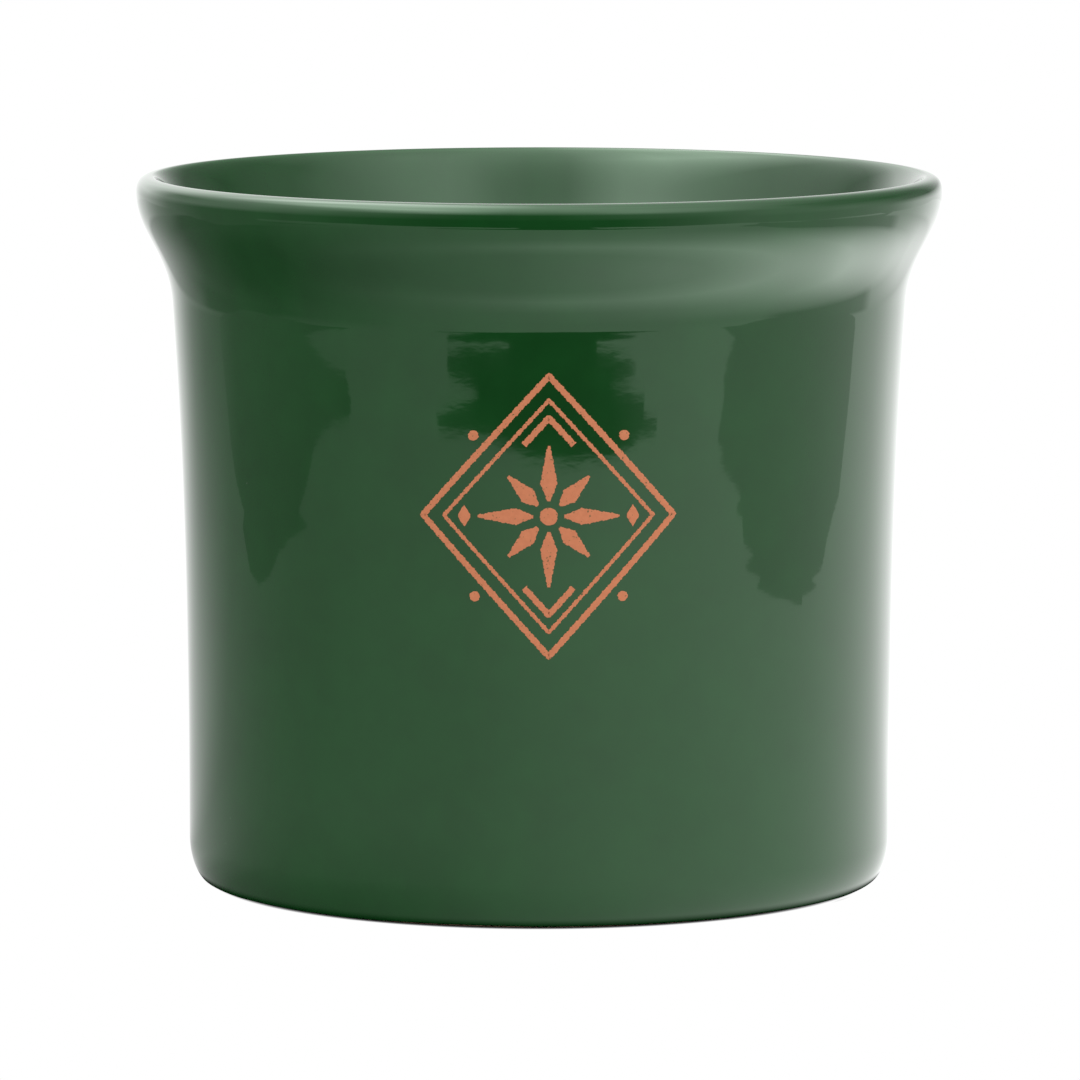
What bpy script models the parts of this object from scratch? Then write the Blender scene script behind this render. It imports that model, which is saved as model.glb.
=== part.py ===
"""A round stoneware crock with a flared rim, glazed green, with a small enamel print on its front.

Metres, +Z up. The origin is the centre of the foot's resting plane, and the print faces -Y.
Every turned piece comes from one finished outline, the shape that a hand feels: each glaze coat lies
just under it, and the clay lies under the coats.
"""

import math

import bmesh
import bpy
import numpy as np

# The outside, as the finished pot measures
HEIGHT = 0.1564
RIM_DIAMETER = 0.178
FLARE_REACH = 0.0079  # the rim stands out this far past the neck
WALL_LEAN = 0.00325  # the neck stands out this far past the foot of the wall
NECK_DROP = 0.0278  # from the top of the rim down to the neck, where the flare begins
WALL_CURVE = 2.5  # the wall leans out slowly at first: its lean grows with this power of the height
NECK_PULL = 0.0112  # how far up the wall's own lean carries into the flare
RIM_PULL = 0.0088  # how far down the rim's upright edge carries into the flare

# The lip
LIP_ROUND = 0.0066  # from the rim's widest line in to its highest line
LIP_RISE = 0.0035  # from the rim's widest line up to its highest line
LIP_EDGE_PULL = 0.0023  # how far up the rim's upright edge carries into the lip
LIP_TOP_PULL = 0.0052  # how far out the lip's level top carries
LIP_DROP = 0.0125  # from the highest line down to where the two glazes meet inside
LIP_INNER_PULL = 0.0026  # how far in the lip's level top carries
LIP_SLOPE_RUN = 0.0022  # the lip's inner slope leans out this far
LIP_SLOPE_RISE = 0.0052  # over this height

# The inside
WALL = 0.0064
FLOOR = 0.0083
CORNER = 0.012  # radius of the corner between the inner wall and the floor

# The foot
HEEL_INSET = 0.0044  # the heel rounds in this far
HEEL_HEIGHT = 0.0098  # over this height
FOOT_WIDTH = 0.006
RECESS = 0.0022  # height of the hollow under the base
RECESS_SLOPE = 0.0015  # how far the hollow's side leans in
GLAZE_LINE = 0.001  # the outer glaze stops this far above the table

# The coats
GLAZE = 0.0006
FIT_GAP = 0.0003
BASE_MARGIN = 0.0012  # bare clay between the base's glaze and the hollow's side
COAT = GLAZE + FIT_GAP

# The print
PRINT_CENTRE = 0.0895  # height of its middle above the table
PRINT_WIDTH = 0.056
PRINT_HEIGHT = 0.062
PRINT_THICKNESS = 0.0003
BORDER_LINE = 0.0013
INNER_LINE = 0.0008
BORDER_SPACE = 0.0024  # between the two borders
BLUNT_TIP = 0.0003  # half the width of a pointed shape's end
CENTRE_DOT = 0.0019  # radius
SIDE_DOT = 0.0011
SIDE_DOT_SPACE = 0.0026  # from a border to the middle of the dot outside it
CHEVRON_WIDTH = 0.0105
CHEVRON_LINE = 0.0013
CHEVRON_INSET = 0.0022  # from the inner border's corner down to the chevron's point
CHEVRON_SPACE = 0.005  # from the chevron down to the tip of the upright ray
DIAMOND_WIDTH = 0.0026
DIAMOND_HEIGHT = 0.0048
DIAMOND_INSET = 0.0026  # from the inner border's corner in to the diamond
DIAMOND_SPACE = 0.0016  # from the diamond in to the tip of the level ray
RAY_WIDTH = 0.0036
RAY_SPACE = 0.0014  # from the centre dot to the start of each ray
RAY_SHOULDER_SHARE = 0.32  # how far along a ray it is widest
SLANT_RAY_SHARE = 0.75  # a slanting ray's length as a share of a level one's

SEGMENTS = 52
HEEL_STEPS = 3
WALL_STEPS = 5
FLARE_STEPS = 7
LIP_STEPS = 5
LIP_INNER_STEPS = 5
INNER_WALL_STEPS = 8
CORNER_STEPS = 4
BORDER_STEPS = 7
ROUND_STEPS = 6
CHEVRON_STEPS = 2

RIM_RADIUS = RIM_DIAMETER / 2
NECK_RADIUS = RIM_RADIUS - FLARE_REACH
BASE_RADIUS = NECK_RADIUS - WALL_LEAN
CREST_RADIUS = RIM_RADIUS - LIP_ROUND
NECK_Z = HEIGHT - NECK_DROP
WIDEST_Z = HEIGHT - LIP_RISE
FLOOR_Z = RECESS + FLOOR
NECK_LEAN = WALL_CURVE * WALL_LEAN / (NECK_Z - HEEL_HEIGHT)
FOOT_RADIUS = BASE_RADIUS - HEEL_INSET
HOLLOW_RADIUS = FOOT_RADIUS - FOOT_WIDTH


def clear_scene():
    for item in list(bpy.data.objects):
        bpy.data.objects.remove(item, do_unlink=True)


def material(name, colour, roughness, metallic=0.0):
    made = bpy.data.materials.new(name)
    made.use_nodes = True
    surface = made.node_tree.nodes["Principled BSDF"]
    surface.inputs["Base Color"].default_value = (*colour, 1)
    surface.inputs["Roughness"].default_value = roughness
    surface.inputs["Metallic"].default_value = metallic
    made.diffuse_color = (*colour, 1)
    return made


def bezier(start, first_handle, second_handle, end, steps):
    """Points along a cubic curve, with both of its ends."""
    t = np.linspace(0, 1, steps + 1)[:, None]
    start, first_handle, second_handle, end = map(np.array, (start, first_handle, second_handle, end))
    near_start = (1 - t) ** 3 * start + 3 * (1 - t) ** 2 * t * first_handle
    near_end = 3 * (1 - t) * t**2 * second_handle + t**3 * end
    return near_start + near_end


def ellipse(centre, radii, first_angle, last_angle, steps):
    """Points along an arc of an ellipse, with both of its ends."""
    turn = np.linspace(first_angle, last_angle, steps + 1)
    return np.column_stack([centre[0] + radii[0] * np.cos(turn), centre[1] + radii[1] * np.sin(turn)])


def heel(steps):
    """From the glaze line round to the foot of the wall."""
    first_angle = math.asin(GLAZE_LINE / HEEL_HEIGHT - 1)
    return ellipse((FOOT_RADIUS, HEEL_HEIGHT), (HEEL_INSET, HEEL_HEIGHT), first_angle, 0, steps)


def wall(steps):
    """From the heel up to the neck, leaning out more and more."""
    share = np.linspace(0, 1, steps + 1)
    radius = BASE_RADIUS + WALL_LEAN * share**WALL_CURVE
    return np.column_stack([radius, HEEL_HEIGHT + (NECK_Z - HEEL_HEIGHT) * share])


def flare(steps):
    """From the neck out to the rim's widest line."""
    neck = (NECK_RADIUS, NECK_Z)
    neck_handle = (NECK_RADIUS + NECK_LEAN * NECK_PULL, NECK_Z + NECK_PULL)
    rim_handle = (RIM_RADIUS, WIDEST_Z - RIM_PULL)
    return bezier(neck, neck_handle, rim_handle, (RIM_RADIUS, WIDEST_Z), steps)


def lip(steps):
    """From the widest line up to the highest."""
    widest_handle = (RIM_RADIUS, WIDEST_Z + LIP_EDGE_PULL)
    crest_handle = (CREST_RADIUS + LIP_TOP_PULL, HEIGHT)
    return bezier((RIM_RADIUS, WIDEST_Z), widest_handle, crest_handle, (CREST_RADIUS, HEIGHT), steps)


def joined(*runs):
    """Runs of points end to end, where each begins at the point that the one before ends at."""
    return np.concatenate([runs[0], *(run[1:] for run in runs[1:])])


def outside(fineness=1):
    """The finished outline from the glaze line to the top of the lip."""
    return joined(
        heel(HEEL_STEPS * fineness),
        wall(WALL_STEPS * fineness),
        flare(FLARE_STEPS * fineness),
        lip(LIP_STEPS * fineness),
    )


OUTSIDE = outside()
FINE_OUTSIDE = outside(fineness=12)


def outside_radius(z, outline=OUTSIDE):
    below_lip = outline[outline[:, 1] <= WIDEST_Z]
    return np.interp(z, below_lip[:, 1], below_lip[:, 0])


def inside_radius(z):
    """One wall's thickness in from the outside. Above the neck the inside goes straight on up."""
    below_neck = outside_radius(np.minimum(z, NECK_Z), FINE_OUTSIDE) - WALL
    return below_neck + NECK_LEAN * np.maximum(z - NECK_Z, 0)


def lip_inside():
    """From the top of the lip down to the seam between the two glazes."""
    seam_z = HEIGHT - LIP_DROP
    seam_radius = inside_radius(seam_z)
    crest_handle = (CREST_RADIUS - LIP_INNER_PULL, HEIGHT)
    seam_handle = (seam_radius + LIP_SLOPE_RUN, seam_z + LIP_SLOPE_RISE)
    return bezier((CREST_RADIUS, HEIGHT), crest_handle, seam_handle, (seam_radius, seam_z), LIP_INNER_STEPS)


def inner_wall(top_z):
    """From a height inside the lip down to the corner at the floor."""
    z = np.linspace(top_z, FLOOR_Z + CORNER, INNER_WALL_STEPS + 1)
    return np.column_stack([inside_radius(z), z])


def corner_and_floor():
    """Round the corner and across the floor to the axis."""
    corner_z = FLOOR_Z + CORNER
    centre = (inside_radius(corner_z) - CORNER, corner_z)
    corner = ellipse(centre, (CORNER, CORNER), 0, -math.pi / 2, CORNER_STEPS)
    return np.concatenate([corner, [(0, FLOOR_Z)]])


def sunk(outline, depth):
    """The outline moved into the material by this depth, square to itself. The ends move square too."""
    along = np.diff(outline, axis=0)
    along /= np.linalg.norm(along, axis=1)[:, None]
    inward = np.column_stack([-along[:, 1], along[:, 0]])
    before, after = np.vstack([inward[:1], inward]), np.vstack([inward, inward[-1:]])
    middle = before + after
    stretch = 2 / (middle**2).sum(axis=1)
    return outline + depth * middle * stretch[:, None]


def coat(outline):
    """The closed outline of a glaze coat whose finished side is this outline."""
    return np.concatenate([outline, sunk(outline, GLAZE)[::-1]])


def turned(name, outline, finish):
    """A solid turned round the axis. An outline whose ends aren't both on the axis is closed first."""
    shape = bmesh.new()
    points = [shape.verts.new((radius, 0, z)) for radius, z in outline]
    edges = [shape.edges.new(pair) for pair in zip(points, points[1:])]
    if outline[0][0] or outline[-1][0]:
        edges.append(shape.edges.new((points[-1], points[0])))
    bmesh.ops.spin(
        shape,
        geom=points + edges,
        cent=(0, 0, 0),
        axis=(0, 0, 1),
        angle=2 * math.pi,
        steps=SEGMENTS,
    )
    bmesh.ops.remove_doubles(shape, verts=shape.verts, dist=FIT_GAP / 100)
    return finished(name, shape, finish)


def finished(name, shape, finish):
    """An object from the closed mesh, with its faces pointing out."""
    bmesh.ops.recalc_face_normals(shape, faces=shape.faces)
    mesh = bpy.data.meshes.new(name)
    shape.to_mesh(mesh)
    shape.free()
    mesh.materials.append(finish)
    mesh.shade_smooth()
    mesh.set_sharp_from_angle(angle=math.radians(35))
    item = bpy.data.objects.new(name, mesh)
    bpy.context.scene.collection.objects.link(item)
    return item


def finished_outline():
    """The whole finished outline, from the glaze line over the lip to the middle of the floor."""
    return joined(OUTSIDE, lip_inside(), inner_wall(HEIGHT - LIP_DROP), corner_and_floor())


def stoneware_body(finish):
    hollow_z = RECESS + COAT
    foot = [
        (0, hollow_z),
        (HOLLOW_RADIUS - RECESS_SLOPE, hollow_z),
        (HOLLOW_RADIUS, 0),
        (FOOT_RADIUS, 0),
    ]
    return turned("stoneware_body", np.concatenate([foot, sunk(finished_outline(), COAT)]), finish)


def outer_glaze(finish):
    return turned("outer_glaze", coat(joined(OUTSIDE, lip_inside())), finish)


def liner_glaze(finish):
    outline = joined(inner_wall(HEIGHT - LIP_DROP - FIT_GAP), corner_and_floor())
    return turned("liner_glaze", coat(outline), finish)


def base_glaze(finish):
    radius = HOLLOW_RADIUS - RECESS_SLOPE - BASE_MARGIN
    bottom, top = RECESS, RECESS + GLAZE
    outline = [(0, bottom), (radius - GLAZE, bottom), (radius, top), (0, top)]
    return turned("base_glaze", outline, finish)


def on_front(across, up, lift):
    """A point of the print, from its place on the flat drawing to its place on the curved wall."""
    z = PRINT_CENTRE + up
    radius = outside_radius(z) + FIT_GAP + lift
    turn = across / outside_radius(PRINT_CENTRE)
    return (radius * math.sin(turn), -radius * math.cos(turn), z)


def island(name, left, right, finish, ring=False):
    """A thin plate on the wall, between two lines of as many points. A ring's lines close on themselves."""
    shape = bmesh.new()
    rows = []
    for (left_x, left_z), (right_x, right_z) in zip(left, right):
        rows.append(
            [
                shape.verts.new(on_front(left_x, left_z, 0)),
                shape.verts.new(on_front(right_x, right_z, 0)),
                shape.verts.new(on_front(right_x, right_z, PRINT_THICKNESS)),
                shape.verts.new(on_front(left_x, left_z, PRINT_THICKNESS)),
            ]
        )
    following = rows[1:] + rows[:1] if ring else rows[1:]
    for row, after in zip(rows, following):
        for side in range(4):
            other = (side + 1) % 4
            shape.faces.new((row[side], row[other], after[other], after[side]))
    if not ring:
        shape.faces.new(rows[0])
        shape.faces.new(rows[-1])
    return finished(name, shape, finish)


def half_lozenge(inset):
    """Half the width and half the height of the print's lozenge, moved in by this distance."""
    half = np.array([PRINT_WIDTH / 2, PRINT_HEIGHT / 2])
    side_distance = half.prod() / np.linalg.norm(half)
    return half * (1 - inset / side_distance)


def lozenge(inset):
    """Points round the lozenge, moved in from its outer edge by this distance."""
    corners = np.array([(1, 0), (0, 1), (-1, 0), (0, -1), (1, 0)]) * half_lozenge(inset)
    share = np.linspace(0, 1, BORDER_STEPS + 1)[:-1, None]
    return np.concatenate([a + (b - a) * share for a, b in zip(corners, corners[1:])])


def border(name, inset, line, finish):
    return island(name, lozenge(inset), lozenge(inset + line), finish, ring=True)


def dot(name, centre, radius, finish):
    """A round island, cut just short of its lowest and highest points."""
    ends = math.acos(BLUNT_TIP / radius)
    turn = np.linspace(-ends, ends, ROUND_STEPS + 1)
    half_width, up = radius * np.cos(turn), centre[1] + radius * np.sin(turn)
    left = np.column_stack([centre[0] - half_width, up])
    right = np.column_stack([centre[0] + half_width, up])
    return island(name, left, right, finish)


def kite(name, direction, start, length, width, shoulder_share, finish):
    """A pointed shape that runs out from the print's middle, widest at its shoulder."""
    along = np.array([start, start + length * shoulder_share, start + length])[:, None]
    half_width = np.array([BLUNT_TIP, width / 2, BLUNT_TIP])[:, None]
    outward = np.array([math.cos(direction), math.sin(direction)])
    sideways = np.array([-outward[1], outward[0]])
    middle = along * outward
    return island(name, middle + half_width * sideways, middle - half_width * sideways, finish)


def chevron(name, point_z, upright, finish):
    """A V on its head above the star, or a V below it, with its arms along the borders' sides."""
    slope = PRINT_HEIGHT / PRINT_WIDTH
    across = np.linspace(-CHEVRON_WIDTH / 2, CHEVRON_WIDTH / 2, 2 * CHEVRON_STEPS + 1)
    outer_edge = point_z - np.abs(across) * slope
    inner_edge = outer_edge - CHEVRON_LINE * math.hypot(1, slope)
    lower = np.column_stack([across, upright * inner_edge])
    upper = np.column_stack([across, upright * outer_edge])
    return island(name, lower, upper, finish)


def star(level_tip, upright_tip, finish):
    """Eight rays round a centre dot: level, slanting and upright ones in turn."""
    dot("print_centre", (0, 0), CENTRE_DOT, finish)
    start = CENTRE_DOT + RAY_SPACE
    level, upright = level_tip - start, upright_tip - start
    lengths = [level, level * SLANT_RAY_SHARE, upright, level * SLANT_RAY_SHARE] * 2
    for number, length in enumerate(lengths):
        direction = number * math.pi / 4
        name = f"print_ray_{number + 1}"
        kite(name, direction, start, length, RAY_WIDTH, RAY_SHOULDER_SHARE, finish)


def side_dots(finish):
    """One dot outside the middle of each side of the border."""
    half = half_lozenge(0)
    outward = half[::-1] / np.linalg.norm(half)
    for number, signs in enumerate([(1, 1), (-1, 1), (-1, -1), (1, -1)], 1):
        centre = (half / 2 + outward * SIDE_DOT_SPACE) * signs
        dot(f"print_dot_{number}", centre, SIDE_DOT, finish)


def enamel_print(finish):
    inner_inset = BORDER_LINE + BORDER_SPACE
    border("print_border_outer", 0, BORDER_LINE, finish)
    border("print_border_inner", inner_inset, INNER_LINE, finish)
    side_dots(finish)
    clear_x, clear_z = half_lozenge(inner_inset + INNER_LINE)
    chevron_z = clear_z - CHEVRON_INSET
    chevron("print_chevron_top", chevron_z, 1, finish)
    chevron("print_chevron_bottom", chevron_z, -1, finish)
    diamond_x = clear_x - DIAMOND_INSET - DIAMOND_WIDTH
    for name, direction in (("print_diamond_right", 0), ("print_diamond_left", math.pi)):
        kite(name, direction, diamond_x, DIAMOND_WIDTH, DIAMOND_HEIGHT, 1 / 2, finish)
    chevron_drop = CHEVRON_LINE * math.hypot(1, PRINT_HEIGHT / PRINT_WIDTH)
    star(diamond_x - DIAMOND_SPACE, chevron_z - chevron_drop - CHEVRON_SPACE, finish)


def main():
    clear_scene()
    stoneware = material("Stoneware", (0.56, 0.43, 0.30), 0.8)
    green = material("Green glaze", (0.012, 0.075, 0.018), 0.12)
    copper = material("Copper enamel", (0.52, 0.17, 0.08), 0.45)
    stoneware_body(stoneware)
    outer_glaze(green)
    liner_glaze(green)
    base_glaze(green)
    enamel_print(copper)


main()
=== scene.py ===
"""The looks of a round stoneware crock: glossy green glaze, a bare buff foot and a copper-coloured print.

Metres, +Z up. Every turned piece follows one finished outline, the shape that a hand feels, and the print
faces -Y. Outlines are arrays of (radius, height). A turned piece is a grid: its rows go along the outline
and its columns go round the axis, anticlockwise from +X.
"""

import math

import bpy
import numpy as np
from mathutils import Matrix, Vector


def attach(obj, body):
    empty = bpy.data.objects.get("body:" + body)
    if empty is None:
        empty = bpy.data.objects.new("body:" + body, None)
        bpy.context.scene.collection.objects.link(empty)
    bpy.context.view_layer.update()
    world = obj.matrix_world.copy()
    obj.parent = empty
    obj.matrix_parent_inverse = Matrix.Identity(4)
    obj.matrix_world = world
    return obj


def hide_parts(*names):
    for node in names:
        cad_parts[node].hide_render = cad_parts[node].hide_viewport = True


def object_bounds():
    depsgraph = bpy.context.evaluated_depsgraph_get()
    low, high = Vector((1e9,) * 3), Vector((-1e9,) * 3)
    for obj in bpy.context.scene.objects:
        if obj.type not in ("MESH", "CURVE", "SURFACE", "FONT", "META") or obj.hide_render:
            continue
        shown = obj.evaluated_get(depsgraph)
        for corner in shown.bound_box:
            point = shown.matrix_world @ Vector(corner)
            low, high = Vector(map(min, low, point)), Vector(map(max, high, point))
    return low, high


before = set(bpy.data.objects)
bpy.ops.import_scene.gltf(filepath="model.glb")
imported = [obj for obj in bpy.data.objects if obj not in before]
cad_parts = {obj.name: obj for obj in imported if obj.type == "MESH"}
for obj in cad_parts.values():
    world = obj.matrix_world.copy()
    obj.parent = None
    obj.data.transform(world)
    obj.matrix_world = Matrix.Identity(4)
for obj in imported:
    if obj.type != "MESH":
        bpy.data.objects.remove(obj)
cad_low, cad_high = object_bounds()

MILLIMETRE = 0.001

# The finished outline: the solids' own, but for a lip that is rounded more tightly and the mouth inside it
RIM_RADIUS = round(cad_high[0], 6)  # the frame's own, to a micron
HEIGHT = round(cad_high[2], 6)
NECK_RADIUS = 0.0811
BASE_RADIUS = 0.07785
NECK_Z = 0.1286
WIDEST_Z = 0.1529
WALL_CURVE = 2.5  # the wall leans out with this power of its height
NECK_PULL = 0.0112  # how far up the wall's own lean carries into the flare
RIM_PULL = 0.0088  # how far down the rim's upright edge carries into the flare
CREST_RADIUS = 0.0855  # of the lip's highest line
LIP_EDGE_PULL = 0.0026  # how far up the rim's upright edge carries into the lip
LIP_TOP_PULL = 0.0022  # how far out the lip's level top carries
LIP_INNER_PULL = 0.002  # how far in the lip's level top carries
LIP_DROP = 0.0125  # from the highest line down to where the two glazes meet inside
LIP_SLOPE_RUN = 0.0022  # the lip's inner slope leans out this far
LIP_SLOPE_RISE = 0.0052  # over this height
MOUTH_FLARE = 0.003  # how far the inside follows the flare, where the lip meets it
WALL = 0.0064
FLOOR_Z = 0.0105
CORNER = 0.012
FOOT_RADIUS = 0.07345  # where the heel's curve would reach the table
HEEL_HEIGHT = 0.0098
HOLLOW_RADIUS = 0.06745
RECESS = 0.0022
RECESS_SLOPE = 0.0015
NECK_LEAN = WALL_CURVE * (NECK_RADIUS - BASE_RADIUS) / (NECK_Z - HEEL_HEIGHT)

# The coats. Waves are given as how many there are round the pot and how high each is
GLAZE = 0.0006
GLAZE_LINE = 0.0005  # the outer glaze's lower edge, above the table
GLAZE_LINE_WAVES = ((3, 6e-5), (7, 5e-5), (12, 4e-5), (23, 3e-5), (41, 2e-5))
GLAZE_LINE_ROUND = 1.4 * GLAZE  # the edge is rounded over this length
BASE_MARGIN = 0.0012  # from the hollow's slope to the glaze under the base
BASE_WAVE_ROOM = 0.0006  # for the glaze's edge to waver in
BASE_WAVES = ((2, 2e-4), (5, 1.5e-4), (9, 1e-4), (17, 7e-5), (31, 5e-5))
BASE_EDGE_ROUND = 0.0008

# The clay
CLAY_LINE = 1.5 * GLAZE_LINE  # the clay's heel starts here, a little above the glaze's edge
CLAY_GAP = 0.00001  # between a coat's hidden side and the clay
TOE_SET_IN = 0.0022  # the flat of the foot ends this far in from under the heel
TOE_PULL = 0.001  # how far out the flat carries into the toe
TOE_RUN = 0.0009  # the toe comes up to the heel from this far in
TOE_RISE = 0.0007  # and from this height
# The foot ring's inner edge: a curve's start, handles and end, out from the hollow's radius and up
RING_CURVE = ((-0.0007, 0.0009), (-0.0002, 0.0001), (0.0002, 0), (0.0006, 0))
SLOPE_HANDLE = (-0.0012, 0.0017)  # the lower handle of the hollow's slope, from the same place
CEILING_ROUND = 0.0012  # the flat ceiling ends this far in from the top of the hollow's slope
CEILING_PULL = 0.001  # how far out it carries into the slope

# How finely the outlines are cut
TURNS = 320
WALL_STEPS = 60
FLARE_STEPS = 60
LIP_STEPS = 36
CORNER_STEPS = 16
FLOOR_STEPS = 15
HEEL_STEPS = 40
HEEL_CROWDING = 1.6  # the power that draws the heel's points towards the glaze's edge
BASE_EDGE_STEPS = 8
BASE_STEPS = 24
CLAY_HEEL_STEPS = 12
CLAY_KEEPS = 3  # the clay under the coats takes every third point, and hidden sides take fewer
OUTER_HIDDEN_KEEPS = 9
LINER_HIDDEN_KEEPS = 4
TOE_STEPS = 8
RING_STEPS = 6
CEILING_POINTS = 20
SHARP_ANGLE = math.radians(50)

# The print: a lozenge of two borders round a star, with small islands between and outside them
PRINT_CENTRE = 0.0895
PRINT_HALF = np.array([0.028, 0.031])
PRINT_SLOPE = PRINT_HALF[1] / PRINT_HALF[0]
OUTER_LINE = 0.0013
INNER_INSET = 0.0037
INNER_LINE = 0.0008
CLEAR_INSET = 0.0045  # from the lozenge's edge to the clear ground inside both borders
CENTRE_RADIUS = 0.0019
RAY_START = 0.0033
RAY_HALF_WIDTHS = (0.0003, 0.0018, 0.0003)
RAY_PLACES = (0, 0.32, 1)
RAY_TO_DIAMOND = 0.0016
RAY_TO_CHEVRON = 0.005
SLANTING_SHARE = 0.75  # of a level ray's length
DIAMOND_GAP = 0.0026
DIAMOND_LENGTH = 0.0026
DIAMOND_HALF_WIDTHS = (0.0003, 0.0024, 0.0003)
DIAMOND_PLACES = (0, 0.5, 1)
CHEVRON_GAP = 0.0022
CHEVRON_LINE = 0.0013
CHEVRON_WIDTH = 0.0105
DOT_GAP = 0.0026
DOT_RADIUS = 0.0011
DOT_END = 0.985  # a dot's outline stops at this share of its radius, in a short flat

# The enamel's film. Its section is in shares of its half-width and its thickness, its waves in millimetres
ENAMEL = 0.00009
SECTION_ACROSS = np.array([-1, -1, -0.86, -0.4, 0.4, 0.86, 1, 1])
SECTION_UP = np.array([0.05, 0.6, 1, 1, 1, 1, 0.6, 0.05])
EDGE_WAVES = ((0.6, 0.05), (0.95, 0.05), (1.7, 0.05), (3.3, 0.04))
OTHER_EDGE_SEED = 500
PRINT_STEP = 0.00013
LEAST_POINTS = 24
BORDER_STEPS = 260
CHEVRON_POINTS = 100

# The camera stands off to the pot's right by this much, so the print lies a little right of the middle
VIEW_TURN = math.radians(-1.47)

WHITE = (1, 1, 1, 1)
MIXED_COLOUR = 2  # where a Mix of colours gives its result, among its outputs


def linear(code):
    """The linear colour of an sRGB hex code: below a small share a division, above it a power of 2.4."""
    share = np.array([int(code[i : i + 2], 16) for i in (1, 3, 5)]) / 255
    return (*np.where(share <= 0.04045, share / 12.92, ((share + 0.055) / 1.055) ** 2.4), 1.0)


def fill(tree, node, links):
    """Sets a node's inputs: a value is a socket to join or what to set."""
    for socket, value in links.items():
        if isinstance(value, bpy.types.NodeSocket):
            tree.links.new(value, node.inputs[socket])
        else:
            node.inputs[socket].default_value = value


def add(tree, kind, links=None, stops=None, **settings):
    """Adds a node with its settings and its inputs. Stops, as (place, level) pairs, fill a ramp."""
    made = tree.nodes.new("ShaderNode" + kind)
    for name, value in settings.items():
        setattr(made, name, value)
    fill(tree, made, links or {})
    if stops:
        ramp = made.color_ramp
        while len(ramp.elements) < len(stops):
            ramp.elements.new(0.5)
        for element, (place, level) in zip(ramp.elements, stops):
            element.position = place
            element.color = (level, level, level, 1)
    return made


def empty_tree(owner):
    """The node tree of a new material or world, with nothing in it."""
    owner.use_nodes = True
    owner.node_tree.nodes.clear()
    return owner.node_tree


# Shapes


def bezier(start, first_handle, second_handle, end, steps):
    """Points along a cubic curve: each is the four given points weighted by the cubic Bernstein terms."""
    share = np.linspace(0, 1, steps + 1)[:, None]
    rest = 1 - share
    points = [np.array(point) for point in (start, first_handle, second_handle, end)]
    weights = [rest**3, 3 * rest**2 * share, 3 * rest * share**2, share**3]
    return sum(weight * point for weight, point in zip(weights, points))


def wall_radius(z):
    """The outside of the wall leans out with the 2.5th power of the height above the heel."""
    share = np.clip((z - HEEL_HEIGHT) / (NECK_Z - HEEL_HEIGHT), 0, 1)
    return BASE_RADIUS + (NECK_RADIUS - BASE_RADIUS) * share**WALL_CURVE


def upper_outside():
    """From the top of the heel up the wall, out along the flare and over to the top of the lip.

    The flare and the lip are cubic curves. The flare starts along the wall and ends upright, and the lip
    starts upright and ends level.
    """
    z = np.linspace(HEEL_HEIGHT, NECK_Z, WALL_STEPS + 1)
    wall = np.column_stack([wall_radius(z), z])
    widest, crest = (RIM_RADIUS, WIDEST_Z), (CREST_RADIUS, HEIGHT)
    neck_handle = (NECK_RADIUS + NECK_LEAN * NECK_PULL, NECK_Z + NECK_PULL)
    rim_handle = (RIM_RADIUS, WIDEST_Z - RIM_PULL)
    flare = bezier((NECK_RADIUS, NECK_Z), neck_handle, rim_handle, widest, FLARE_STEPS)
    edge_handle = (RIM_RADIUS, WIDEST_Z + LIP_EDGE_PULL)
    top_handle = (CREST_RADIUS + LIP_TOP_PULL, HEIGHT)
    lip = bezier(widest, edge_handle, top_handle, crest, LIP_STEPS)
    return np.concatenate([wall, flare[1:], lip[1:]])


UPPER_OUTSIDE = upper_outside()


def inside_radius(z):
    """One wall's thickness in from the outside, up to the neck.

    Above the neck the inside goes on with the wall's lean there, and leans out further with the square of
    the height above the neck.
    """
    rise = np.maximum(z - NECK_Z, 0)
    mouth = MOUTH_FLARE * (rise / (HEIGHT - LIP_DROP - NECK_Z)) ** 2
    return wall_radius(z) - WALL + NECK_LEAN * rise + mouth


def lip_inside():
    """A cubic curve from the top of the lip down to where the outside's glaze meets the liner's."""
    seam_z = HEIGHT - LIP_DROP
    seam = inside_radius(seam_z)
    crest_handle = (CREST_RADIUS - LIP_INNER_PULL, HEIGHT)
    seam_handle = (seam + LIP_SLOPE_RUN, seam_z + LIP_SLOPE_RISE)
    return bezier((CREST_RADIUS, HEIGHT), crest_handle, seam_handle, (seam, seam_z), LIP_STEPS)


def inner_wall_and_floor():
    """Down the inner wall, a quarter circle round the corner and across the floor to the axis."""
    z = np.linspace(HEIGHT - LIP_DROP, FLOOR_Z + CORNER, WALL_STEPS + 1)
    wall = np.column_stack([inside_radius(z), z])
    angle = np.linspace(0, math.pi / 2, CORNER_STEPS + 1)[1:]
    corner_radius = wall[-1, 0] - CORNER * (1 - np.cos(angle))
    corner = np.column_stack([corner_radius, z[-1] - CORNER * np.sin(angle)])
    radius = np.linspace(corner[-1, 0], 0, FLOOR_STEPS + 1)[1:]
    return np.concatenate([wall, corner, np.column_stack([radius, np.full_like(radius, FLOOR_Z)])])


def heel_angle(z):
    """The angle at which the heel's ellipse has this height."""
    return np.arcsin(z / HEEL_HEIGHT - 1)


def heel(angle):
    """A quarter ellipse from the foot, at -90 degrees, out and up to the foot of the wall, at 0."""
    radius = FOOT_RADIUS + (BASE_RADIUS - FOOT_RADIUS) * np.cos(angle)
    return np.stack([radius, HEEL_HEIGHT * (1 + np.sin(angle))], axis=-1)


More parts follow.
